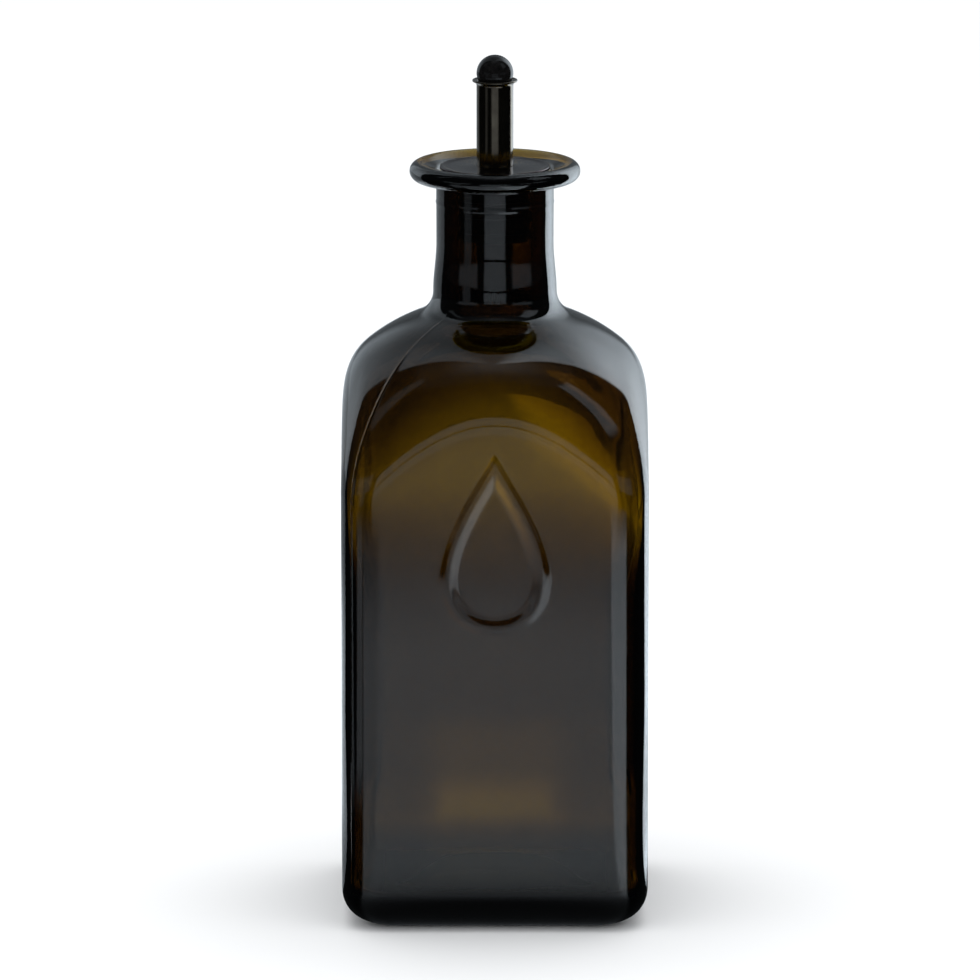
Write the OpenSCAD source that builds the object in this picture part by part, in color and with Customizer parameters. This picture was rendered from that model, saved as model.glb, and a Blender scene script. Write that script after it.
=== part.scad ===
// Square glass oil bottle with a push-in pourer.
// A captive ball closes the pour tube by its own weight and slides open when the bottle is tipped.
// Millimetres, +Z up. The bottle stands on Z = 0 with its axis on the Z axis, and its front faces -Y.

/* [Bottle] */
// Width of the square body, across its flat sides
body_w = 75; // [70:1:80]
// Height at which the shoulder's slope would meet the neck
shoulder_h = 149.5; // [146:0.5:151]
// Height of the glass, at the top of the lip
glass_h = 185; // [182:1:195]
// Radius of the upright corners, seen from above
corner_r = 9; // [8:0.5:11]
// Radius of the heel, between the sides and the base
heel_r = 9.5; // [8:0.5:10.5]
// Radius of the dome that rounds the shoulder, in section
dome_r = 45; // [42:0.5:48]
// Thickness of the side walls
wall = 3.5; // [2.5:0.5:4]
// Height of the cavity's floor
floor_z = 6.5; // [5:0.5:8]

/* [Neck and lip] */
// Outer diameter of the neck
neck_d = 28.8; // [28:0.2:30]
// Diameter of the bore that holds the stopper
bore_d = 18; // [17.6:0.1:18.4]
// Outer diameter of the rolled lip
lip_d = 41.8; // [40:0.2:44]
// Thickness of the rolled lip
lip_t = 4.5; // [4:0.1:5]

/* [Pourer] */
// Outer diameter of the pour tube
tube_d = 9; // [8.8:0.1:9.2]
// Wall of the pour tube
tube_wall = 0.8; // [0.7:0.1:0.9]
// Height of the tube's rim above the lip of the bottle
tube_rise = 20.35; // [16:0.05:26]
// Length of the stopper plug in the bore
plug_l = 16; // [14:1:26]
// How far a fin stands clear of the bore when the stopper is in
fin_gap = 0.03; // [0.02:0.01:0.06]

/* [Ball valve] */
// Diameter of the ball
ball_d = 9; // [8.8:0.1:9.4]
// How far the ball slides out of its seat
ball_lift = 6; // [4:0.5:7]

/* [Hidden] */

$fn = 96;
inside = 0.5;  // how far solids that are joined or cut run past each other

glass_colour = [0.20, 0.17, 0.06];
gunmetal = [0.16, 0.15, 0.16];
steel = [0.55, 0.55, 0.56];
soft_black = [0.06, 0.06, 0.06];

// Bottle outline
half_w = body_w / 2;
slope = 23.8;                                // angle of the straight part of the shoulder, under the neck
slope_end_r = 21.4;                          // where that slope turns into the dome
slope_end_z = shoulder_h - (slope_end_r - neck_d / 2) * tan(slope);
dome_c_r = slope_end_r - dome_r * sin(slope);        // the centre of the dome's arc, in section
dome_c_z = slope_end_z - dome_r * cos(slope);
skirt = 32;                                  // below the arc the dome goes on at this angle, over the corners
corner_blend = 7;                            // how widely the dome and the flat sides run into each other
root_r = neck_d / 2 + 0.8;                   // the neck's radius at its root, above the fillet
fillet_r = 6;
fillet_sink = 0.3;                           // the fillet is set this far into the slope, so that they cross
fillet_c = root_r + fillet_r;
fillet_z = shoulder_h - (fillet_c - neck_d / 2) * tan(slope) + fillet_r / cos(slope) - fillet_sink;
taper_h = 12;                                // height of the neck's taper above the fillet
neck_start_z = slope_end_z - 1.5;            // the turned neck begins here, inside the shoulder
base_corner_r = corner_r / 2;
skirt_start = 104;                           // the dome reaches the upright corners just above this height
skirt_steps = 6;
dome_steps = 7;
far = 200;                                   // a dome radius that leaves the square as it is
corner_turns = [0, 12, 22, 31, 37, 39, 41, 43, 45, 47, 49, 51, 53, 59, 68, 78];   // angles around one corner
punt_r = 24;                                 // radius and depth of the hollow under the base
punt_h = 1.5;

// Lip and mouth
bore_r = bore_d / 2;
neck_r = neck_d / 2;
lip_c = lip_d / 2 - lip_t / 2;
lip_z = glass_h - lip_t / 2;
mouth_h = 2.7;
seat_z = glass_h - mouth_h;                  // the ledge that the stopper's flange rests on
mouth_r = 14;                                // the recess around the disc
mouth_edge_z = seat_z + 0.9;
crest_w = 0.9;                               // the lip's rounded crest, inside its centre line
crest_drop = 0.2;
seam_z = glass_h - 9.8;                      // raised ring where the neck mould meets the body mould
seam_h = 0.5;
seam_out = 0.15;
under_lip_r = 1.2;

// Oil-drop relief on the front
drop_w = 17.5;                               // 0.73 of this is half the drop's width
drop_h = 44;
drop_z = 97;
drop_out = 0.5;

// Pourer
tube_r = tube_d / 2;
tube_bore_r = tube_r - tube_wall;
flange_t = 1;
flange_r = 12.5;
disc_t = 0.8;
disc_r = 13.5;
disc_z = seat_z + flange_t;
disc_top = disc_z + disc_t;
plug_bottom = seat_z - plug_l;
core_r = bore_r - 0.7;
fin_t = 1.2;
fin_count = 4;
fin_pitch = 3.9;
tube_below_plug = 12.8;
tube_bottom = plug_bottom - tube_below_plug;
rim_top = glass_h + tube_rise;
rim_t = 0.5;
flare_out_r = 1;                             // radius of the flare's outer and inner curves
flare_in_r = flare_out_r + rim_t;
flare_z = rim_top - flare_in_r;
rim_r = tube_r + 1.05;
vent_r = 1.2;
vent_bore_r = 0.85;
vent_y = 6.3;
vent_above_disc = 0.5;
vent_top = disc_top + vent_above_disc;
vent_below_tube = 5.5;
vent_bottom = tube_bottom - vent_below_tube;

// Ball valve
ball_r = ball_d / 2;
flare_c = tube_bore_r + flare_in_r;          // centre of the flare's inner curve, from the axis
seat_gap = 0.05;
ball_z = flare_z + seat_gap + sqrt(pow(ball_r + flare_in_r, 2) - pow(flare_c, 2));
spigot_r = 1.2;
spigot_l = 3;
spigot_z = ball_z - ball_r + 0.5;
seal_in_r = 1.8;
seal_cord_r = (tube_bore_r - 0.08 - seal_in_r) / 2;
seal_c = seal_in_r + seal_cord_r;
collar_r = 2.8;
collar_t = 0.8;
seal_under_ball = 1.4;
seal_z = ball_z - ball_r - seal_under_ball - seal_cord_r;
rod_r = 1;
guide_gap = 0.05;
spider_h = 3;
spider_room = 5;                             // between the stem's lower collar and the guide
spider_top = seal_z - seal_cord_r - collar_t - spider_room;
spider_bottom = spider_top - spider_h;
hub_r = 1.9;
spider_ring_r = tube_bore_r - 0.5;
arm_t = 0.9;
clip_t = 0.5;
clip_r = 2.1;
groove_r = 0.7;
clip_stop = 0.05;                            // between the clip and the spider when the ball is fully out
clip_top = spider_bottom - ball_lift - clip_stop;
rod_end = 1.2;
rod_bottom = clip_top - clip_t - rod_end;

// The dome's radius at a height. The inside of the bottle is the same dome, moved in by the wall.
function dome_at(z, off) =
    let (r = dome_r - off, low = dome_c_z + r * sin(skirt), high = dome_c_z + r * cos(slope))
    z > high ? dome_c_r + r * sin(slope) - (z - high) / tan(slope) :
    z < low ? dome_c_r + r * cos(skirt) + (low - z) * tan(skirt) :
    dome_c_r + sqrt(r * r - pow(z - dome_c_z, 2));

// The lesser of two distances, rounded off where they are nearly the same
function soft_min(a, b) = min(a, b) - pow(max(corner_blend - abs(a - b), 0), 2) / (4 * corner_blend);

// Distance from the axis, at an angle from the middle of a side, to a square with round corners
function square_at(angle, w, corner) =
    let (a = abs((angle + 45) % 90 - 45), flat = w - corner, reach = flat * (cos(a) + sin(a)))
    w * tan(a) <= flat ? w / cos(a) : reach + sqrt(max(0, reach * reach - 2 * flat * flat + corner * corner));

// A ring of the bottle's loft: [height, half width, corner radius, radius of the dome]
function heel_rings(w, z, r, top_corner, bottom_corner) =
    [for (a = [-90:15:0]) [z + r + r * sin(a), w - r + r * cos(a),
                           bottom_corner + (top_corner - bottom_corner) * cos(a), far]];
function shoulder_rings(w, corner, off) =
    let (r = dome_r - off, low = dome_c_z + r * sin(skirt), turn = 90 - slope - skirt,
         heights = concat(
             [for (i = [0:skirt_steps]) skirt_start + (low - skirt_start) * i / skirt_steps],
             [for (i = [1:dome_steps]) dome_c_z + r * sin(skirt + turn * i / dome_steps)]))
    [for (z = heights) [z, w, corner, dome_at(z, off)]];
function ring_points(ring) =
    [for (q = [0:3], turn = corner_turns)
        let (a = 90 * q + turn, r = soft_min(square_at(a, ring[1], ring[2]), ring[3]))
        [r * cos(a), r * sin(a), ring[0]]];

module loft(rings) {
    n = 4 * len(corner_turns);
    last = len(rings) - 1;
    // the base is a fan around its middle, because its points lie in a line along the flat sides
    polyhedron(
        points = concat([for (ring = rings) each ring_points(ring)], [[0, 0, rings[0][0]]]),
        faces = concat(
            [for (k = [0:n - 1]) [n * (last + 1), k, (k + 1) % n]],
            [for (i = [0:last - 1], k = [0:n - 1])
                let (m = (k + 1) % n) [i * n + k, (i + 1) * n + k, (i + 1) * n + m, i * n + m]],
            [[for (k = [n - 1:-1:0]) last * n + k]]),
        convexity = 4);
}

module outer_body() {
    top_r = root_r - 0.6;
    loft(concat(
        heel_rings(half_w, 0, heel_r, corner_r, base_corner_r),
        shoulder_rings(half_w, corner_r, 0),
        [[shoulder_h - (top_r - neck_r) * tan(slope), half_w, corner_r, top_r]]));
}

module cavity() {
    inner_w = half_w - wall;
    inner_corner = corner_r - wall;
    slope_turn = dome_c_z + (dome_r - wall) * cos(slope);
    roof_z = slope_turn + (dome_c_r + (dome_r - wall) * sin(slope) - bore_r - 1) * tan(slope);
    loft(concat(
        heel_rings(inner_w, floor_z, heel_r - wall + 1, inner_corner, inner_corner / 2),
        shoulder_rings(inner_w, inner_corner, wall),
        [[roof_z, inner_w, inner_corner, bore_r + 1], [roof_z + 2, inner_w, inner_corner, bore_r - 1]]));
    translate([0, 0, roof_z - 1]) cylinder(r = bore_r, h = glass_h - roof_z + 2);
}

module neck_outline() {
    difference() {
        union() {
            translate([bore_r - 1, neck_start_z]) square([neck_r - bore_r + 1, lip_z - neck_start_z]);
            polygon([[neck_r - 1, fillet_z - inside], [root_r, fillet_z - inside], [root_r, fillet_z],
                     [neck_r, fillet_z + taper_h], [neck_r - 1, fillet_z + taper_h]]);
            difference() {
                translate([bore_r - 1, neck_start_z])
                    square([fillet_c - fillet_r * sin(slope) - bore_r + 1, fillet_z - neck_start_z]);
                translate([fillet_c, fillet_z]) circle(r = fillet_r);
            }
            difference() {
                translate([neck_r - inside, lip_z - lip_t / 2 - under_lip_r])
                    square([under_lip_r + inside, under_lip_r + inside]);
                translate([neck_r + under_lip_r, lip_z - lip_t / 2 - under_lip_r]) circle(r = under_lip_r);
            }
            translate([neck_r - inside, seam_z - seam_h / 2]) square([seam_out + inside, seam_h]);
            translate([bore_r - 1, lip_z - lip_t / 2]) square([lip_c - bore_r + 1, lip_t]);
            translate([lip_c, lip_z]) circle(r = lip_t / 2);
        }
        // the recess for the disc, with a sloping side up to the crest of the lip
        polygon([[bore_r - 2, seat_z], [mouth_r, seat_z], [mouth_r, mouth_edge_z],
                 [lip_c - crest_w, glass_h - crest_drop], [lip_c, glass_h], [lip_c, glass_h + 1],
                 [bore_r - 2, glass_h + 1]]);
    }
}

// A drop's outline, with its tip at the top: its flanks draw in as the power rises
module oil_drop() {
    outline = [for (a = [0:7.5:352.5])
        [drop_w * sin(a) * pow(sin(a / 2), 1.3), drop_z + drop_h / 2 * cos(a)]];
    translate([0, -half_w + inside, 0]) rotate([90, 0, 0]) linear_extrude(drop_out + inside) polygon(outline);
}

module glass_bottle() {
    punt_sphere = (punt_r * punt_r + punt_h * punt_h) / (2 * punt_h);
    color(glass_colour) difference() {
        union() {
            outer_body();
            rotate_extrude() neck_outline();
            oil_drop();
        }
        cavity();
        translate([0, 0, punt_h - punt_sphere]) sphere(r = punt_sphere);
    }
}

module stopper_disc() {
    color(gunmetal) difference() {
        translate([0, 0, disc_z]) cylinder(r = disc_r, h = disc_t);
        translate([0, 0, disc_z - 1]) cylinder(r = tube_r, h = disc_t + 2);
        translate([0, vent_y, disc_z - 1]) cylinder(r = vent_r, h = disc_t + 2);
    }
}

module stopper_plug() {
    color(soft_black) difference() {
        union() {
            translate([0, 0, seat_z]) cylinder(r = flange_r, h = flange_t);
            translate([0, 0, plug_bottom]) cylinder(r = core_r, h = plug_l + flange_t / 2);
            for (i = [0:fin_count - 1])
                translate([0, 0, plug_bottom + 1 + i * fin_pitch]) cylinder(r = bore_r - fin_gap, h = fin_t);
        }
        translate([0, 0, plug_bottom - 1]) cylinder(r = tube_r, h = plug_l + flange_t + 2);
        translate([0, vent_y, plug_bottom - 1]) cylinder(r = vent_r, h = plug_l + flange_t + 2);
    }
}

module tube_outline() {
    translate([tube_bore_r, tube_bottom]) square([tube_wall, flare_z - tube_bottom]);
    difference() {
        union() {
            intersection() {
                translate([flare_c, flare_z]) circle(r = flare_in_r);
                translate([tube_bore_r, flare_z]) square([flare_in_r, flare_in_r]);
            }
            translate([flare_c, flare_z]) square([rim_r - flare_c, flare_in_r]);
        }
        translate([tube_r + flare_out_r, flare_z]) circle(r = flare_out_r);
    }
}

module pour_tube() {
    color(gunmetal) rotate_extrude() tube_outline();
}

module vent_tube() {
    color(steel) translate([0, vent_y, vent_bottom]) difference() {
        cylinder(r = vent_r, h = vent_top - vent_bottom);
        translate([0, 0, -1]) cylinder(r = vent_bore_r, h = vent_top - vent_bottom + 2);
    }
}

module guide_spider() {
    color(steel) translate([0, 0, spider_bottom]) linear_extrude(spider_h) difference() {
        circle(r = tube_bore_r);
        difference() {
            circle(r = spider_ring_r);
            circle(r = hub_r);
            for (i = [0:2])
                rotate(90 + 120 * i) translate([0, -arm_t / 2]) square([tube_bore_r, arm_t]);
        }
        circle(r = rod_r + guide_gap);
    }
}

module ball() {
    color(soft_black) difference() {
        translate([0, 0, ball_z]) sphere(r = ball_r);
        translate([0, 0, spigot_z - 2]) cylinder(r = spigot_r, h = spigot_l + 2);
    }
}

module ball_stem() {
    color(steel) difference() {
        union() {
            translate([0, 0, seal_z]) cylinder(r = spigot_r, h = spigot_z + spigot_l - seal_z);
            translate([0, 0, seal_z - seal_cord_r]) cylinder(r = seal_in_r, h = 2 * seal_cord_r);
            for (z = [seal_z + seal_cord_r, seal_z - seal_cord_r - collar_t])
                translate([0, 0, z]) cylinder(r = collar_r, h = collar_t);
            translate([0, 0, rod_bottom]) cylinder(r = rod_r, h = seal_z - rod_bottom);
        }
        translate([0, 0, clip_top - clip_t]) difference() {
            cylinder(r = rod_r + 1, h = clip_t);
            translate([0, 0, -1]) cylinder(r = groove_r, h = clip_t + 2);
        }
    }
}

module ball_seal() {
    color(soft_black) translate([0, 0, seal_z]) rotate_extrude()
        translate([seal_c, 0]) circle(r = seal_cord_r);
}

module stem_clip() {
    color(steel) translate([0, 0, clip_top - clip_t]) difference() {
        cylinder(r = clip_r, h = clip_t);
        translate([0, 0, -1]) cylinder(r = groove_r, h = clip_t + 2);
        translate([0, -groove_r * 0.8, -1]) cube([clip_r + 1, groove_r * 1.6, clip_t + 2]);
    }
}

glass_bottle();
stopper_disc();
stopper_plug();
pour_tube();
vent_tube();
guide_spider();
ball();
ball_stem();
ball_seal();
stem_clip();
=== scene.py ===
"""Looks for a square glass oil bottle with a push-in pourer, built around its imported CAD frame."""
import math

import bpy
import numpy as np
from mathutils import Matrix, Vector, noise


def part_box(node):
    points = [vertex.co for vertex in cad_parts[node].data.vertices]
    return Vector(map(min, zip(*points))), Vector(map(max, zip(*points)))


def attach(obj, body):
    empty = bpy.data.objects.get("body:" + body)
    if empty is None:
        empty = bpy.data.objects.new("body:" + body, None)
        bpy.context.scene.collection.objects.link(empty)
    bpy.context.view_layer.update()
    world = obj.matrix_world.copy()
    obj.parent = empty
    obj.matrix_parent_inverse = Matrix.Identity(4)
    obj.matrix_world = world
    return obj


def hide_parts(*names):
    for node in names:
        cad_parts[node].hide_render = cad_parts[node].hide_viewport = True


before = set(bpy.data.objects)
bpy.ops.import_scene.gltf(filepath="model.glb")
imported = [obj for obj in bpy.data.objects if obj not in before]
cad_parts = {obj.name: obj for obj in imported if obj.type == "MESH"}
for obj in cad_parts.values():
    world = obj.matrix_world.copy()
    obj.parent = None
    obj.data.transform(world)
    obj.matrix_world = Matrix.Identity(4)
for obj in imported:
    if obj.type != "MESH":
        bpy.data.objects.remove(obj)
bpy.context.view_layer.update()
scene = bpy.context.scene
MM = 0.001

glass_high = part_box("glass_bottle")[1]
disc_low, disc_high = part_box("stopper_disc")
tube_low, tube_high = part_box("pour_tube")
ball_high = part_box("ball")[1]

# ---------------------------------------------------------------- sizes in mm, the same as the CAD source's
HALF_W = glass_high.x / MM
GLASS_H = glass_high.z / MM
CORNER_R = 9.0
HEEL_R = 9.5
BASE_CORNER_R = 4.5
SHOULDER_H = 149.5
WALL = 3.5
FLOOR_Z = 6.5
NECK_R = 14.4
ROOT_R = 15.2
FILLET_R = 6.0
TAPER_H = 12.0
BORE_R = 9.0
SLOPE = math.radians(23.8)
SLOPE_END_R = 21.4
SLOPE_END_Z = SHOULDER_H - (SLOPE_END_R - NECK_R) * math.tan(SLOPE)
DOME_R = 45.0
DOME_C_R = SLOPE_END_R - DOME_R * math.sin(SLOPE)
DOME_C_Z = SLOPE_END_Z - DOME_R * math.cos(SLOPE)
SKIRT = math.radians(32)
SKIRT_START = 104.0
CORNER_BLEND = 7.0
LIP_C = 18.65
LIP_R = 2.25
LIP_Z = GLASS_H - LIP_R
SEAT_Z = GLASS_H - 2.7
MOUTH_R = 14.0
RING_Z = GLASS_H - 9.8
RING_OUT = 0.15
UNDER_LIP_R = 1.2
PUNT_R = 24.0
PUNT_H = 1.5
DROP_W = 17.5
DROP_H = 44.0
DROP_Z = 97.0
DROP_OUT = 0.5

# ---------------------------------------------------------------- sizes in mm of the visual model only
DOME_WALL = 4.2
RING_HALF_H = 0.5      # of the neck's ring, which is rounded (the CAD's is square, 0.5 in all)
TOP_WALL = 2.95        # the side walls just under the shoulder
WALL_GAIN = 2.1        # how much thicker they are further down
WALL_LOSS = 1.9        # and how much of that they lose again near the heel
HEEL_CORNER_GAIN = 1.5
PANEL_DISH = 0.15
PANEL_TOP = 118.0
DROP_RIM = 1.5
DROP_DISH = 0.72       # the dish takes away this share of the drop's height
SEAM_ANGLES = (math.radians(135), math.radians(315))
SEAM_RISE = 0.13
SEAM_W = 0.5
NEAR_NECK_Z = 151      # the neck's own waviness starts here


# ---------------------------------------------------------------- helpers
def smooth(t):
    """0 below 0, 1 above 1, and an S-curve between."""
    t = min(1.0, max(0.0, t))
    return t * t * (3 - 2 * t)


def new_mesh(name, points, faces):
    mesh = bpy.data.meshes.new(name)
    mesh.from_pydata([tuple(p) for p in points], [], faces)
    mesh.validate()
    mesh.polygons.foreach_set("use_smooth", [True] * len(mesh.polygons))
    obj = bpy.data.objects.new(name, mesh)
    scene.collection.objects.link(obj)
    return obj


def skin(rings, closed_path):
    """Quads between rings of equal length. A closed path joins the last ring to the first."""
    count = len(rings)
    size = len(rings[0])
    faces = []
    for i in range(count if closed_path else count - 1):
        j = (i + 1) % count
        for k in range(size):
            m = (k + 1) % size
            faces.append((i * size + k, i * size + m, j * size + m, j * size + k))
    return faces


def lathe(name, outline, segments):
    """A closed outline of (radius, height) in mm, anticlockwise, turned about the Z axis."""
    rings = []
    for r, z in outline:
        ring = []
        for k in range(segments):
            a = 2 * math.pi * k / segments
            ring.append((r * math.cos(a) * MM, r * math.sin(a) * MM, z * MM))
        rings.append(ring)
    points = [p for ring in rings for p in ring]
    return new_mesh(name, points, skin(rings, True))


def arc(centre_r, centre_z, radius, start, end, steps):
    """Points (radius, height) on an arc, by angle in degrees from the outward direction."""
    points = []
    for i in range(steps + 1):
        a = math.radians(start + (end - start) * i / steps)
        points.append((centre_r + radius * math.cos(a), centre_z + radius * math.sin(a)))
    return points


# ---------------------------------------------------------------- the glass
def dome_at(z, wall):
    """The dome's radius at a height: an arc with a straight slope above and a straight skirt below."""
    r = DOME_R - wall
    low = DOME_C_Z + r * math.sin(SKIRT)
    high = DOME_C_Z + r * math.cos(SLOPE)
    if z > high:
        return DOME_C_R + r * math.sin(SLOPE) - (z - high) / math.tan(SLOPE)
    if z < low:
        return DOME_C_R + r * math.cos(SKIRT) + (low - z) * math.tan(SKIRT)
    return DOME_C_R + math.sqrt(r * r - (z - DOME_C_Z) ** 2)


def soft_min(a, b):
    """The lesser of two lengths, rounded off where they are nearly the same."""
    return min(a, b) - max(CORNER_BLEND - abs(a - b), 0.0) ** 2 / (4 * CORNER_BLEND)


def dome_heights(wall, low_steps, arc_steps):
    """Heights up the skirt and the arc of the dome."""
    r = DOME_R - wall
    low = DOME_C_Z + r * math.sin(SKIRT)
    heights = [SKIRT_START + (low - SKIRT_START) * i / low_steps for i in range(low_steps)]
    for i in range(arc_steps + 1):
        heights.append(DOME_C_Z + r * math.sin(SKIRT + (math.pi / 2 - SLOPE - SKIRT) * i / arc_steps))
    return heights


def ring_angles():
    """Angles round the bottle from the front (-Y) towards +X, closest together on the front panel."""
    flat = HALF_W - CORNER_R
    angles = []
    for side, steps in enumerate((100, 24, 24, 24)):
        for i in range(steps):
            x = -flat + 2 * flat * i / steps
            angles.append(side * math.pi / 2 + math.atan(x / HALF_W))
        start = math.atan(flat / HALF_W)
        for i in range(12):
            angles.append(side * math.pi / 2 + start + (math.pi / 2 - 2 * start) * i / 12)
    for seam in SEAM_ANGLES:
        angles += [seam + step for step in (-0.012, -0.008, -0.004, 0.003, 0.006, 0.010)]
    return sorted(angles)


def square_radius(angle, w, corner):
    """Distance from the axis to a square of half width w with round corners."""
    a = abs((angle + math.pi / 4) % (math.pi / 2) - math.pi / 4)
    flat = w - corner
    if w * math.tan(a) <= flat:
        return w / math.cos(a)
    reach = flat * (math.cos(a) + math.sin(a))
    return reach + math.sqrt(max(0.0, reach * reach - 2 * flat * flat + corner * corner))


def spaced(low, high, step):
    """Evenly spaced values from low up to, but not including, high."""
    count = max(1, round(abs(high - low) / step))
    return [low + (high - low) * i / count for i in range(count)]


def outer_profile():
    """(height, half width, corner radius, dome radius) from the middle of the base to the mouth's rim."""
    punt_sphere = (PUNT_R ** 2 + PUNT_H ** 2) / (2 * PUNT_H)
    profile = []
    for r in (1, 3, 6, 9, 12, 15, 18, 20, 22, 23.2):
        z = PUNT_H - punt_sphere + math.sqrt(punt_sphere ** 2 - r * r)
        profile.append((z, r, r - 0.005))
    profile.append((0.0, PUNT_R + 0.2, PUNT_R + 0.19))
    base_w = HALF_W - HEEL_R
    for w in (25.2, 26.2, 27.2):
        f = (w - PUNT_R) / (base_w - PUNT_R)
        profile.append((0.0, w, w - 0.01 + (BASE_CORNER_R - w + 0.01) * f))
    for i in range(19):
        a = math.radians(-90 + 5 * i)
        profile.append((HEEL_R + HEEL_R * math.sin(a), HALF_W - HEEL_R + HEEL_R * math.cos(a),
                        BASE_CORNER_R + (CORNER_R - BASE_CORNER_R) * math.cos(a)))
    drop_low = DROP_Z - DROP_H / 2 - 2
    drop_high = DROP_Z + DROP_H / 2 + 2
    heights = spaced(HEEL_R, drop_low, 2.2)[1:] + spaced(drop_low, drop_high, 0.5)
    for z in heights + [z for z in dome_heights(0, 34, 30) if z >= drop_high]:
        profile.append((z, HALF_W, CORNER_R, dome_at(z, 0)))
    fillet_c = ROOT_R + FILLET_R
    tangent_w = fillet_c - FILLET_R * math.sin(SLOPE)
    for w in spaced(SLOPE_END_R, tangent_w, 0.7)[1:]:
        z = SLOPE_END_Z + (SLOPE_END_R - w) * math.tan(SLOPE)
        profile.append((z, w, w - 0.01))
    fillet_z = SLOPE_END_Z + (SLOPE_END_R - tangent_w) * math.tan(SLOPE) + FILLET_R * math.cos(SLOPE)
    for i in range(9):
        a = SLOPE + (math.pi / 2 - SLOPE) * i / 8
        r = fillet_c - FILLET_R * math.sin(a)
        profile.append((fillet_z - FILLET_R * math.cos(a), r, r - 0.01))
    lip_bottom = LIP_Z - LIP_R
    for z in spaced(fillet_z, lip_bottom - UNDER_LIP_R, 0.5)[1:]:
        r = ROOT_R + (NECK_R - ROOT_R) * smooth((z - fillet_z) / TAPER_H)
        r += RING_OUT * max(0.0, 1 - ((z - RING_Z) / RING_HALF_H) ** 2)
        profile.append((z, r, r - 0.01))
    for r, z in arc(NECK_R + UNDER_LIP_R, lip_bottom - UNDER_LIP_R, UNDER_LIP_R, 180, 90, 6):
        profile.append((z, r, r - 0.01))
    for r in (16.6, 17.6):
        profile.append((lip_bottom, r, r - 0.01))
    for r, z in arc(LIP_C, LIP_Z, LIP_R, -90, 90, 28):
        profile.append((z, r, r - 0.01))
    return profile


def mouth_profile():
    """The mouth, from the crest of the lip down to the seat and the bore."""
    crest = [(18.2, 0.03), (17.75, 0.14), (17.2, 0.38), (16.5, 0.72), (15.7, 1.1), (14.9, 1.45), (14.4, 1.7),
             (14.12, 1.95), (MOUTH_R, 2.3)]
    points = [(r, GLASS_H - down) for r, down in crest]
    points += [(MOUTH_R - 0.1, SEAT_Z + 0.12), (MOUTH_R - 0.3, SEAT_Z), (13.0, SEAT_Z), (11.5, SEAT_Z)]
    points += [(10.2, SEAT_Z), (9.5, SEAT_Z - 0.06), (9.15, SEAT_Z - 0.22), (BORE_R, SEAT_Z - 0.55)]
    return [(z, r, r - 0.01) for r, z in points]


def wall_at(z):
    """The glass is thin just under the shoulder and near the heel, and thicker down the sides."""
    return TOP_WALL + WALL_GAIN * smooth((100 - z) / 20) - WALL_LOSS * smooth((42 - z) / 10)


def inner_profile():
    """The bore, the dome, the sides and the floor of the cavity, downwards."""
    inner_corner = CORNER_R - WALL
    turn_z = DOME_C_Z + (DOME_R - DOME_WALL) * math.cos(SLOPE)
    turn_w = dome_at(turn_z, DOME_WALL)
    roof_w = BORE_R + 2.2
    roof_z = turn_z + (turn_w - roof_w) * math.tan(SLOPE)
    profile = []
    for z in spaced(SEAT_Z - 1.2, roof_z + 3.0, 1.6):
        profile.append((z, BORE_R, BORE_R - 0.01))
    blend = [(BORE_R + 0.06, 2.3), (BORE_R + 0.35, 1.4), (BORE_R + 0.9, 0.75), (BORE_R + 1.5, 0.35)]
    for r, up in blend:
        profile.append((roof_z + up, r, r - 0.01))
    for w in spaced(roof_w, turn_w, 1.0):
        profile.append((turn_z + (turn_w - w) * math.tan(SLOPE), w, w - 0.01))
    for z in reversed(dome_heights(DOME_WALL, 14, 18)):
        profile.append((z, HALF_W - wall_at(z), inner_corner, dome_at(z, DOME_WALL)))
    heel = HEEL_R - WALL + 1
    for z in spaced(SKIRT_START, FLOOR_Z + heel, 2.6)[1:]:
        profile.append((z, HALF_W - wall_at(z), inner_corner, dome_at(z, DOME_WALL)))
    side_w = HALF_W - wall_at(FLOOR_Z)
    for i in range(13):
        a = math.radians(-7.5 * i)
        profile.append((FLOOR_Z + heel + heel * math.sin(a), side_w - heel + heel * math.cos(a),
                        inner_corner / 2 * (1 + math.cos(a))))
    floor_w = side_w - heel
    for w in (25, 23, 20, 16, 12, 8, 4, 1):
        f = min(1.0, (floor_w - w) / 5)
        corner = inner_corner / 2 + (w - 0.02 - inner_corner / 2) * f
        profile.append((FLOOR_Z, w, corner))
    return profile


def drop_edge():
    """Points on the outline of the oil drop, as in the CAD source."""
    a = np.linspace(0, 2 * math.pi, 721)[:-1]
    x = DROP_W * np.sin(a) * np.abs(np.sin(a / 2)) ** 1.3
    return np.stack([x, DROP_Z + DROP_H / 2 * np.cos(a)], 1)


DROP_EDGE = drop_edge()


def drop_height(x, z):
    """How far the drop stands out of the front panel: a rounded rim around a shallow dish."""
    c = (z - DROP_Z) / (DROP_H / 2)
    gap = float(np.sqrt(((DROP_EDGE - (x, z)) ** 2).sum(1).min()))
    if abs(c) < 1:
        a = math.acos(c)
        if abs(x) < DROP_W * math.sin(a) * math.sin(a / 2) ** 1.3:
            gap = -gap
    rise = smooth(0.5 - gap / DROP_RIM)
    dish = smooth((-gap - 1.4) / 2.6)
    return DROP_OUT * rise * (1 - DROP_DISH * dish)


def outer_ripple(x, y, z):
    """Inward unevenness of the outside, from 0 to about 0.1 mm."""
    broad = noise.noise(Vector((x / 26, y / 26, z / 34 + 5.1)))
    fine = noise.noise(Vector((x / 9 + 3.7, y / 9, z / 14)))
    return 0.045 * (1 + broad) + 0.008 * (1 + fine)


def neck_ripple(x, y, z):
    """Waviness of the outside of the neck."""
    wave = noise.noise(Vector((x / 7 + 9.3, y / 7, z / 12 + 2.2)))
    return 0.035 * (1 + wave)


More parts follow.
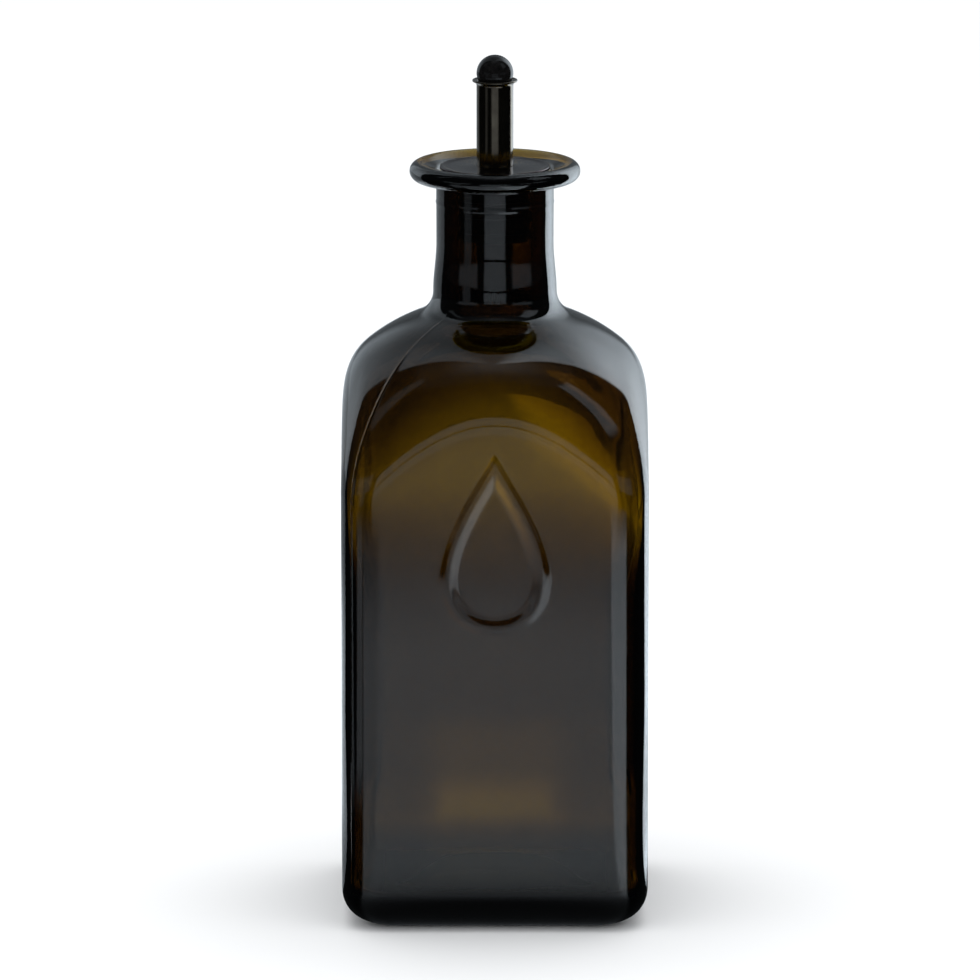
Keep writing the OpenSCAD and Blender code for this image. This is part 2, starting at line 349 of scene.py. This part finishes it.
def inner_ripple(x, y, z):
    """Unevenness of the inside, where the glass was blown against nothing."""
    broad = noise.noise(Vector((x / 24 + 7.7, y / 24, z / 30 + 1.3)))
    fine = noise.noise(Vector((x / 10, y / 10 + 4.2, z / 15)))
    return 0.30 * broad + 0.05 * fine


def mould_seam(angle, r):
    """The fine raised line where the halves of the mould meet, along two opposite corners."""
    gap = min(abs(angle - seam) for seam in SEAM_ANGLES) * r
    return SEAM_RISE * smooth(1 - gap / SEAM_W)


def outer_inset(x, y, z, angle, r):
    """How far a point of the outside is moved in: unevenness and each panel's dish, less the seam."""
    on_body = smooth((z - 2) / 10) * smooth((178 - z) / 4)
    on_neck = smooth((z - NEAR_NECK_Z) / 5)
    inset = on_body * (outer_ripple(x, y, z) * (1 - on_neck) + on_neck * neck_ripple(x, y, z))
    inset -= mould_seam(angle, r) * smooth((z - 8) / 8) * smooth((NEAR_NECK_Z - z) / 6)
    panel_w = HALF_W - CORNER_R
    across = min(abs(x), abs(y))
    if HEEL_R < z < PANEL_TOP and across < panel_w:
        level = smooth((z - HEEL_R) / 25) * smooth((PANEL_TOP - z) / 25)
        inset += PANEL_DISH * level * (1 - (across / panel_w) ** 2) ** 2
    return inset


def inner_inset(x, y, z):
    """How far a point of the inside is moved in: unevenness, and thicker corners near the heel."""
    inset = 0.0
    if z < 147:
        inset = inner_ripple(x, y, z) * smooth((146 - z) / 12)
    to_corner = smooth((min(abs(x), abs(y)) - 12) / 12)
    return inset + HEEL_CORNER_GAIN * smooth((42 - z) / 10) * smooth((z - 9) / 6) * to_corner


def glass_points(profile, angles, outside):
    """Rings of points, from (height, half width, corner radius) and a dome radius where there is one."""
    rings = []
    for z, w, corner, *dome in profile:
        ring = []
        for angle in angles:
            r = square_radius(angle, w, corner)
            if dome:
                r = soft_min(r, dome[0])
            x = r * math.sin(angle)
            y = -r * math.cos(angle)
            inset = outer_inset(x, y, z, angle, r) if outside else inner_inset(x, y, z)
            scale = 1 - inset / max(r, 1.0)
            x *= scale
            y *= scale
            if outside and y < 0 and abs(x) < 20 and HEEL_R < z < PANEL_TOP + 4:
                y -= drop_height(x, z)
            ring.append((x * MM, y * MM, z * MM))
        rings.append(ring)
    return rings


def build_glass():
    """One closed skin: the outside upwards, over the lip, and down the inside."""
    angles = ring_angles()
    rings = glass_points(outer_profile() + mouth_profile(), angles, True)
    rings += glass_points(inner_profile(), angles, False)
    points = [p for ring in rings for p in ring]
    size = len(angles)
    faces = skin(rings, False)
    low_pole = len(points)
    points.append((0.0, 0.0, PUNT_H * MM))
    high_pole = len(points)
    points.append((0.0, 0.0, rings[-1][0][2]))
    last = (len(rings) - 1) * size
    for k in range(size):
        m = (k + 1) % size
        faces.append((low_pole, m, k))
        faces.append((last + k, last + m, high_pole))
    return new_mesh("glass_bottle_body", points, faces)


# ---------------------------------------------------------------- the pourer
TUBE_R = tube_high.x / MM - 1.05
TUBE_BORE_R = TUBE_R - 0.8
RIM_TOP = tube_high.z / MM
RIM_R = tube_high.x / MM
TUBE_BOTTOM = tube_low.z / MM
FLARE_Z = RIM_TOP - 1.5
FLARE_OUT = 1.0
FLARE_IN = 1.5


def build_tube():
    """The pour tube: a rolled flange with a round edge at the top, and a chamfered foot."""
    edge_r = 0.25
    edge_z = RIM_TOP - edge_r
    outline = [(TUBE_BORE_R, TUBE_BOTTOM + 0.3), (TUBE_BORE_R + 0.12, TUBE_BOTTOM + 0.04),
               (TUBE_BORE_R + 0.3, TUBE_BOTTOM), (TUBE_R - 0.3, TUBE_BOTTOM),
               (TUBE_R - 0.08, TUBE_BOTTOM + 0.08), (TUBE_R, TUBE_BOTTOM + 0.3)]
    outline += [(TUBE_R, z) for z in spaced(TUBE_BOTTOM + 2, FLARE_Z, 2.5)]
    outline += arc(TUBE_R + FLARE_OUT, FLARE_Z, FLARE_OUT, 180, 95, 10)
    outline += arc(RIM_R - edge_r, edge_z, edge_r, -80, 90, 10)
    outline += arc(TUBE_BORE_R + FLARE_IN, FLARE_Z, FLARE_IN, 95, 180, 12)
    outline += [(TUBE_BORE_R, z) for z in spaced(FLARE_Z - 1, TUBE_BOTTOM + 1, 3)]
    return lathe("pour_tube_body", outline, 96)


def build_disc():
    """The disc: a turned-down round edge, and a shallow ring pressed into its face."""
    low = disc_low.z / MM
    high = disc_high.z / MM
    outer = disc_high.x / MM
    inner = TUBE_R - 0.05
    outline = [(inner, low), (outer - 0.25, low)]
    outline += arc(outer - 0.25, low + 0.25, 0.25, -90, 0, 4)
    outline += arc(outer - 0.3, high - 0.3, 0.3, 0, 90, 6)
    outline += [(12.6, high - 0.02), (12.2, high - 0.12), (11.8, high - 0.2), (11.2, high - 0.22),
                (9.0, high - 0.2), (7.0, high - 0.14), (5.4, high - 0.05), (4.9, high), (inner, high)]
    return lathe("stopper_disc_face", outline, 128)


def build_ball():
    """A sphere of rings, closed by a fan at each pole."""
    r = ball_high.x / MM
    z = ball_high.z / MM - r
    rows = 40
    columns = 80
    rings = []
    for i in range(1, rows):
        a = math.radians(-90 + 180 * i / rows)
        ring = []
        for k in range(columns):
            b = 2 * math.pi * k / columns
            ring.append((r * math.cos(a) * math.cos(b) * MM, r * math.cos(a) * math.sin(b) * MM,
                         (z + r * math.sin(a)) * MM))
        rings.append(ring)
    points = [p for ring in rings for p in ring]
    faces = skin(rings, False)
    low_pole = len(points)
    points += [(0.0, 0.0, (z - r) * MM), (0.0, 0.0, (z + r) * MM)]
    last = (len(rings) - 1) * columns
    for k in range(columns):
        m = (k + 1) % columns
        faces.append((low_pole, m, k))
        faces.append((last + k, last + m, low_pole + 1))
    return new_mesh("ball_body", points, faces)


# ---------------------------------------------------------------- materials
def new_material(name):
    material = bpy.data.materials.new(name)
    material.use_nodes = True
    tree = material.node_tree
    shader = tree.nodes.get("Principled BSDF")
    if shader is None:
        shader = tree.nodes.new("ShaderNodeBsdfPrincipled")
        output = tree.nodes.get("Material Output") or tree.nodes.new("ShaderNodeOutputMaterial")
        tree.links.new(shader.outputs["BSDF"], output.inputs["Surface"])
    return material, tree, shader


def noise_node(tree, scale, detail=3.0, stretch=(1.0, 1.0, 1.0)):
    coords = tree.nodes.new("ShaderNodeTexCoord")
    mapping = tree.nodes.new("ShaderNodeMapping")
    mapping.inputs["Scale"].default_value = stretch
    texture = tree.nodes.new("ShaderNodeTexNoise")
    texture.inputs["Scale"].default_value = scale
    texture.inputs["Detail"].default_value = detail
    tree.links.new(coords.outputs["Object"], mapping.inputs["Vector"])
    tree.links.new(mapping.outputs["Vector"], texture.inputs["Vector"])
    return texture


def ramp_node(tree, source, low, high, low_value, high_value):
    ramp = tree.nodes.new("ShaderNodeMapRange")
    ramp.inputs["From Min"].default_value = low
    ramp.inputs["From Max"].default_value = high
    ramp.inputs["To Min"].default_value = low_value
    ramp.inputs["To Max"].default_value = high_value
    tree.links.new(source, ramp.inputs["Value"])
    return ramp.outputs["Result"]


def colour_node(tree, source, low, high, first, second):
    ramp = tree.nodes.new("ShaderNodeValToRGB")
    ramp.color_ramp.elements[0].position = low
    ramp.color_ramp.elements[1].position = high
    ramp.color_ramp.elements[0].color = (*first, 1)
    ramp.color_ramp.elements[1].color = (*second, 1)
    tree.links.new(source, ramp.inputs["Fac"])
    return ramp.outputs["Color"]


def bump_node(tree, source, distance):
    bump = tree.nodes.new("ShaderNodeBump")
    bump.inputs["Strength"].default_value = 1.0
    bump.inputs["Distance"].default_value = distance
    tree.links.new(source, bump.inputs["Height"])
    return bump.outputs["Normal"]


# the glass takes out nearly all blue, and a little more green than red
ABSORB_DENSITY = 1500.0
ABSORB_COLOUR = (0.68, 0.612, 0.0)


def olive_glass():
    material, tree, shader = new_material("olive_glass")
    shader.inputs["Base Color"].default_value = (1, 1, 1, 1)
    shader.inputs["Transmission Weight"].default_value = 1.0
    shader.inputs["IOR"].default_value = 1.5
    ripple = noise_node(tree, 70, 2.0, (1, 1, 0.6))
    tree.links.new(bump_node(tree, ripple.outputs["Fac"], 0.00004), shader.inputs["Normal"])
    film = noise_node(tree, 38, 4.0)
    tree.links.new(ramp_node(tree, film.outputs["Fac"], 0.45, 0.75, 0.0, 0.035), shader.inputs["Roughness"])
    absorption = tree.nodes.new("ShaderNodeVolumeAbsorption")
    absorption.inputs["Color"].default_value = (*ABSORB_COLOUR, 1)
    absorption.inputs["Density"].default_value = ABSORB_DENSITY
    output = tree.nodes["Material Output"]
    tree.links.new(absorption.outputs["Volume"], output.inputs["Volume"])
    return material


def metal(name, first, second, roughness, grain, stretch, bump):
    material, tree, shader = new_material(name)
    shader.inputs["Metallic"].default_value = 1.0
    lines = noise_node(tree, grain, 4.0, stretch)
    patches = noise_node(tree, 300, 2.0)
    base = colour_node(tree, patches.outputs["Fac"], 0.3, 0.7, first, second)
    tree.links.new(base, shader.inputs["Base Color"])
    tree.links.new(ramp_node(tree, lines.outputs["Fac"], 0.3, 0.7, *roughness), shader.inputs["Roughness"])
    tree.links.new(bump_node(tree, lines.outputs["Fac"], bump), shader.inputs["Normal"])
    return material


def rubber(name, colour, lighter):
    material, tree, shader = new_material(name)
    skin_grain = noise_node(tree, 1800, 3.0)
    patches = noise_node(tree, 160, 3.0)
    base = colour_node(tree, patches.outputs["Fac"], 0.35, 0.7, colour, lighter)
    tree.links.new(base, shader.inputs["Base Color"])
    roughness = ramp_node(tree, skin_grain.outputs["Fac"], 0.3, 0.7, 0.42, 0.6)
    tree.links.new(roughness, shader.inputs["Roughness"])
    tree.links.new(bump_node(tree, skin_grain.outputs["Fac"], 0.00002), shader.inputs["Normal"])
    return material


def black_coat():
    material, tree, shader = new_material("black_coat")
    peel = noise_node(tree, 900, 2.0)
    base = colour_node(tree, peel.outputs["Fac"], 0.3, 0.7, (0.002, 0.002, 0.002), (0.005, 0.0045, 0.0045))
    tree.links.new(base, shader.inputs["Base Color"])
    tree.links.new(ramp_node(tree, peel.outputs["Fac"], 0.3, 0.7, 0.10, 0.18), shader.inputs["Roughness"])
    shader.inputs["Specular IOR Level"].default_value = 0.16
    tree.links.new(bump_node(tree, peel.outputs["Fac"], 0.000006), shader.inputs["Normal"])
    return material


def dress(obj, material):
    """The object shows only this material."""
    if not obj.material_slots:
        obj.data.materials.append(material)
    for index in range(len(obj.material_slots)):
        obj.material_slots[index].material = material


# ---------------------------------------------------------------- studio
CAMERA_TILT = 12.04
CAMERA_AWAY = 2.444
CAMERA_PIVOT = Vector((0, 0, 0.105))
LENS = 364.9
AIM = Vector((-0.0012, 0.0, 0.1029))
SKY = (0.82, 0.92, 1.0, 1)
BACKDROP = (0.96, 0.98, 1.0, 1)

# what mirrors see behind the bottle: azimuths in degrees from the front, and its brightness at the
# edge and further round
RIGHT_EDGE = (117, 120)
RIGHT_FADE = (122, 165)
RIGHT_GLOW = (4.4, 1.0)
LEFT_EDGE = (-117, -120)


def build_camera():
    data = bpy.data.cameras.new("camera")
    data.lens = LENS
    data.sensor_width = 36.0
    data.clip_end = 20
    camera = bpy.data.objects.new("camera", data)
    scene.collection.objects.link(camera)
    tilt = math.radians(CAMERA_TILT)
    back = Vector((0, -math.cos(tilt), math.sin(tilt)))
    camera.location = CAMERA_PIVOT + back * CAMERA_AWAY
    look = (AIM - camera.location).to_track_quat("-Z", "Y")
    camera.rotation_euler = look.to_matrix().to_euler()
    scene.camera = camera


def build_floor():
    side = 6.0
    points = [(-side, -side, 0), (side, -side, 0), (side, side, 0), (-side, side, 0)]
    floor = new_mesh("floor", points, [(0, 1, 2, 3)])
    material, tree, shader = new_material("studio_floor")
    grain = noise_node(tree, 6, 2.0)
    base = colour_node(tree, grain.outputs["Fac"], 0.3, 0.7, (0.80, 0.80, 0.80), (0.82, 0.82, 0.82))
    tree.links.new(base, shader.inputs["Base Color"])
    shader.inputs["Roughness"].default_value = 1.0
    shader.inputs["Specular IOR Level"].default_value = 0.0
    dress(floor, material)
    floor.visible_glossy = False


class Maths:
    """Short names for the math nodes of one node tree."""

    def __init__(self, tree):
        self.tree = tree

    def do(self, operation, *values):
        node = self.tree.nodes.new("ShaderNodeMath")
        node.operation = operation
        for i, value in enumerate(values):
            if isinstance(value, (int, float)):
                node.inputs[i].default_value = value
            else:
                self.tree.links.new(value, node.inputs[i])
        return node.outputs[0]

    def step(self, value, low, high):
        """0 where value is at low, 1 where it is at high, smooth between."""
        node = self.tree.nodes.new("ShaderNodeMapRange")
        node.interpolation_type = "SMOOTHSTEP"
        node.inputs["From Min"].default_value = low
        node.inputs["From Max"].default_value = high
        self.tree.links.new(value, node.inputs["Value"])
        return node.outputs["Result"]

    def between(self, mask, off, on):
        """The value off where the mask is 0, and on where it is 1."""
        return self.do("ADD", self.do("MULTIPLY", mask, on - off), off)

    def both(self, *masks):
        result = masks[0]
        for mask in masks[1:]:
            result = self.do("MULTIPLY", result, mask)
        return result


def build_world():
    """An even pale studio. Mirror reflections see its softboxes and dark flags."""
    world = bpy.data.worlds.new("studio")
    scene.world = world
    world.use_nodes = True
    tree = world.node_tree
    tree.nodes.clear()
    m = Maths(tree)
    coords = tree.nodes.new("ShaderNodeTexCoord")
    split = tree.nodes.new("ShaderNodeSeparateXYZ")
    tree.links.new(coords.outputs["Generated"], split.inputs[0])
    x, y, z = split.outputs
    azimuth = m.do("MULTIPLY", m.do("ARCTAN2", x, m.do("MULTIPLY", y, -1.0)), 180 / math.pi)
    away = m.do("ABSOLUTE", azimuth)
    level = m.do("MULTIPLY", m.do("ARCSINE", z), 180 / math.pi)

    # behind: the bright backdrop, strongest at the back right
    right = m.both(m.step(azimuth, *RIGHT_EDGE), m.between(m.step(azimuth, *RIGHT_FADE), *RIGHT_GLOW))
    right = m.both(right, m.between(m.step(level, 32, 58), 1.0, 0.35))
    left = m.both(m.step(azimuth, *LEFT_EDGE), m.between(m.step(azimuth, -126, -150), 1.2, 0.65))
    left = m.both(left, m.between(m.step(level, 15, 40), 1.0, 0.5))
    # straight behind, the two sides meet in one even light
    meet = m.step(away, 158, 180)
    shared = m.both(meet, m.between(m.step(level, 24, 52), 0.8, 0.34))
    behind = m.both(m.do("ADD", right, left), m.do("SUBTRACT", 1.0, meet))
    behind = m.do("ADD", behind, shared)
    # straight back, low down, is dark: the disc and the lip's crest mirror it
    dark_middle = m.both(m.step(away, 160, 168), m.step(level, 34, 26))
    behind = m.both(behind, m.between(dark_middle, 1.0, 0.2))

    # at the sides: a bright strip high on the right, a dim one on the left
    strip_right = m.both(m.step(azimuth, 58, 64), m.step(azimuth, 94, 90))
    strip_left = m.both(m.step(azimuth, -86, -90), m.step(azimuth, -99, -96))
    strips = m.do("ADD", m.do("MULTIPLY", strip_right, 0.7), m.do("MULTIPLY", strip_left, 0.2))
    strips = m.both(strips, m.step(level, 28, 32), m.step(level, 59, 56))

    # in front: a narrow window just above the table's far edge, and small glimpses beside it
    opening = m.both(m.step(away, 22, 18), m.step(level, 3.6, 2.4), m.step(level, -6, -4.4))
    window = m.do("MULTIPLY", opening, 0.6)
    glimpse = m.both(m.step(away, 30, 36), m.step(away, 76, 68), m.step(level, 9, 7), m.step(level, -4, -2))
    front = m.do("MAXIMUM", window, m.do("MULTIPLY", glimpse, 0.3))

    overhead = m.between(m.step(level, 64, 88), 0.05, 0.4)
    overhead = m.both(overhead, m.step(level, 52, 58), m.step(away, 124, 112))
    total = m.do("ADD", m.do("ADD", behind, strips), m.do("ADD", front, m.do("ADD", overhead, 0.028)))

    flags = tree.nodes.new("ShaderNodeBackground")
    flags.inputs["Color"].default_value = SKY
    tree.links.new(total, flags.inputs["Strength"])
    even = tree.nodes.new("ShaderNodeBackground")
    even.inputs["Color"].default_value = BACKDROP
    even.inputs["Strength"].default_value = 1.06
    rays = tree.nodes.new("ShaderNodeLightPath")
    mix = tree.nodes.new("ShaderNodeMixShader")
    output = tree.nodes.new("ShaderNodeOutputWorld")
    tree.links.new(rays.outputs["Is Glossy Ray"], mix.inputs[0])
    tree.links.new(even.outputs[0], mix.inputs[1])
    tree.links.new(flags.outputs[0], mix.inputs[2])
    tree.links.new(mix.outputs[0], output.inputs["Surface"])


def card(name, points, z, sees_glossy, sees_transmission):
    """A glowing card that only some rays can see, and its node maths."""
    plane = new_mesh(name, [(x, y, z) for x, y in points], [tuple(range(len(points)))])
    material = bpy.data.materials.new(name)
    material.use_nodes = True
    tree = material.node_tree
    tree.nodes.clear()
    plane.data.materials.append(material)
    plane.visible_camera = False
    plane.visible_diffuse = False
    plane.visible_shadow = False
    plane.visible_glossy = sees_glossy
    plane.visible_transmission = sees_transmission
    m = Maths(tree)
    coords = tree.nodes.new("ShaderNodeTexCoord")
    split = tree.nodes.new("ShaderNodeSeparateXYZ")
    tree.links.new(coords.outputs["Object"], split.inputs[0])
    return m, split.outputs["X"], split.outputs["Y"]


def glow(tree, strength, colour, see_through=False):
    emission = tree.nodes.new("ShaderNodeEmission")
    emission.inputs["Color"].default_value = colour
    output = tree.nodes.new("ShaderNodeOutputMaterial")
    tree.links.new(strength, emission.inputs["Strength"])
    shader = emission
    if see_through:
        shader = tree.nodes.new("ShaderNodeAddShader")
        clear = tree.nodes.new("ShaderNodeBsdfTransparent")
        tree.links.new(emission.outputs[0], shader.inputs[0])
        tree.links.new(clear.outputs[0], shader.inputs[1])
    tree.links.new(shader.outputs[0], output.inputs["Surface"])


def build_table_card():
    """What the glass mirrors of the table: lit in front and behind, in shadow close to the bottle."""
    side = 2.4
    outline = [(-side, -side), (side, -side), (side, side), (-side, side)]
    m, x, y = card("table_card", outline, -0.001, True, False)
    azimuth = m.do("MULTIPLY", m.do("ARCTAN2", x, m.do("MULTIPLY", y, -1.0)), 180 / math.pi)
    away = m.do("ABSOLUTE", azimuth)
    reach = m.do("SQRT", m.do("ADD", m.do("MULTIPLY", x, x), m.do("MULTIPLY", y, y)))

    near = m.step(reach, 0.045, 0.12)
    middle = m.do("ADD", 0.04, m.do("MULTIPLY", near, 0.93))
    middle = m.do("SUBTRACT", middle, m.do("MULTIPLY", m.step(reach, 0.33, 0.52), 0.5))
    middle = m.do("ADD", middle, m.do("MULTIPLY", m.step(reach, 0.66, 0.76), 0.22))
    middle = m.both(middle, m.step(reach, 1.9, 1.75))
    near_front = m.step(reach, 0.56, 0.48)
    right = m.both(m.step(x, 0.042, 0.06), m.step(azimuth, 47, 43), near_front, near)
    left = m.both(m.step(x, -0.042, -0.06), m.step(azimuth, -49, -45), near_front, near)
    corner = m.both(m.step(azimuth, -47, -50), m.step(azimuth, -68, -62), m.step(reach, 0.16, 0.24))
    corner = m.both(corner, near_front)
    strip = m.both(m.step(azimuth, -44, -48), m.step(azimuth, -64, -60), m.step(reach, 0.6, 0.7))
    far_sides = m.both(m.step(away, 22, 18), m.step(away, 90, 80))
    front = m.both(middle, m.do("MAXIMUM", far_sides, m.both(near_front, m.step(away, 49, 44))))
    front = m.do("ADD", front, right)
    front = m.do("SUBTRACT", front, m.do("MULTIPLY", left, 0.2))
    front = m.do("ADD", front, m.do("MULTIPLY", corner, 0.55))
    front = m.do("ADD", front, m.do("MULTIPLY", strip, 0.22))

    # close to the bottle, a corner sees the ground behind further round towards the side
    turn = m.do("MULTIPLY", m.step(reach, 0.27, 0.09), 24.0)
    behind_right = m.do("ADD", azimuth, turn)
    behind_left = m.do("SUBTRACT", azimuth, turn)
    back_right = m.both(m.step(behind_right, *RIGHT_EDGE), m.step(reach, 0.05, 0.09))
    back_right = m.both(back_right, m.between(m.step(behind_right, *RIGHT_FADE), *RIGHT_GLOW))
    lit = m.between(m.step(reach, 0.07, 0.15), 0.3, 1.0)
    lit = m.both(lit, m.between(m.step(reach, 0.28, 0.44), 1.0, 0.3))
    back_left = m.both(m.step(behind_left, *LEFT_EDGE), m.between(m.step(azimuth, -155, -172), 1.35, 0.8))
    back_left = m.both(back_left, lit)
    # straight behind, the two sides meet in one even light
    meet = m.step(away, 150, 180)
    shared = m.between(m.step(reach, 0.05, 0.13), 0.35, 0.9)
    shared = m.both(shared, m.between(m.step(reach, 0.28, 0.44), 1.0, 0.65))
    back = m.both(m.do("ADD", back_right, back_left), m.do("SUBTRACT", 1.0, meet))
    back = m.do("ADD", back, m.both(shared, meet))
    total = m.do("ADD", front, m.do("ADD", back, 0.015))
    glow(m.tree, total, SKY)


def build_back_glow():
    """More light on the ground behind at the right, which shines amber through that side of the glass."""
    m, x, y = card("back_glow", [(0.0, 0.06), (0.5, 0.06), (0.9, 1.6), (0.0, 1.6)], 0.0006, False, True)
    extra = m.both(m.step(x, 0.004, 0.06), m.step(y, 0.24, 0.42))
    glow(m.tree, m.do("MULTIPLY", extra, 1.6), (1.0, 1.0, 1.0, 1), True)


def area_light(name, place, size, power):
    data = bpy.data.lights.new(name, "AREA")
    data.shape = "SQUARE"
    data.size = size
    data.energy = power
    light = bpy.data.objects.new(name, data)
    light.location = place
    light.rotation_euler = (Vector((0, 0, 0.08)) - light.location).to_track_quat("-Z", "Y").to_euler()
    light.visible_camera = False
    light.visible_glossy = False
    light.visible_transmission = False
    scene.collection.objects.link(light)


def build_studio():
    scene.view_settings.view_transform = "Standard"
    build_camera()
    build_floor()
    build_world()
    build_table_card()
    build_back_glow()
    area_light("overhead_softbox", (0.0, 0.2, 1.8), 1.6, 16)


# ---------------------------------------------------------------- assembly
def place(obj, body, node, slot, material):
    dress(obj, material)
    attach(obj, body)
    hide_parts(node)


build_studio()
gunmetal = metal("gunmetal", (0.060, 0.050, 0.040), (0.105, 0.090, 0.070), (0.08, 0.18),
                 grain=260, stretch=(14, 14, 0.12), bump=0.00002)
disc_metal = metal("disc_metal", (0.034, 0.022, 0.026), (0.052, 0.036, 0.036), (0.10, 0.20),
                   grain=500, stretch=(1, 1, 1), bump=0.000004)
plain_steel = metal("plain_steel", (0.42, 0.42, 0.43), (0.58, 0.57, 0.56), (0.2, 0.42),
                    grain=300, stretch=(10, 10, 0.4), bump=0.00001)
black_rubber = rubber("black_rubber", (0.010, 0.010, 0.010), (0.020, 0.019, 0.018))
coat = black_coat()

place(build_glass(), "bottle", "glass_bottle", "olive_glass", olive_glass())
place(build_tube(), "pourer", "pour_tube", "gunmetal", gunmetal)
place(build_disc(), "pourer", "stopper_disc", "gunmetal", disc_metal)
place(build_ball(), "ball_valve", "ball", "black_coated_steel", coat)
for node_name in ("stopper_plug", "ball_seal"):
    dress(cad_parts[node_name], black_rubber)
for node_name in ("vent_tube", "guide_spider", "ball_stem", "stem_clip"):
    dress(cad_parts[node_name], plain_steel)
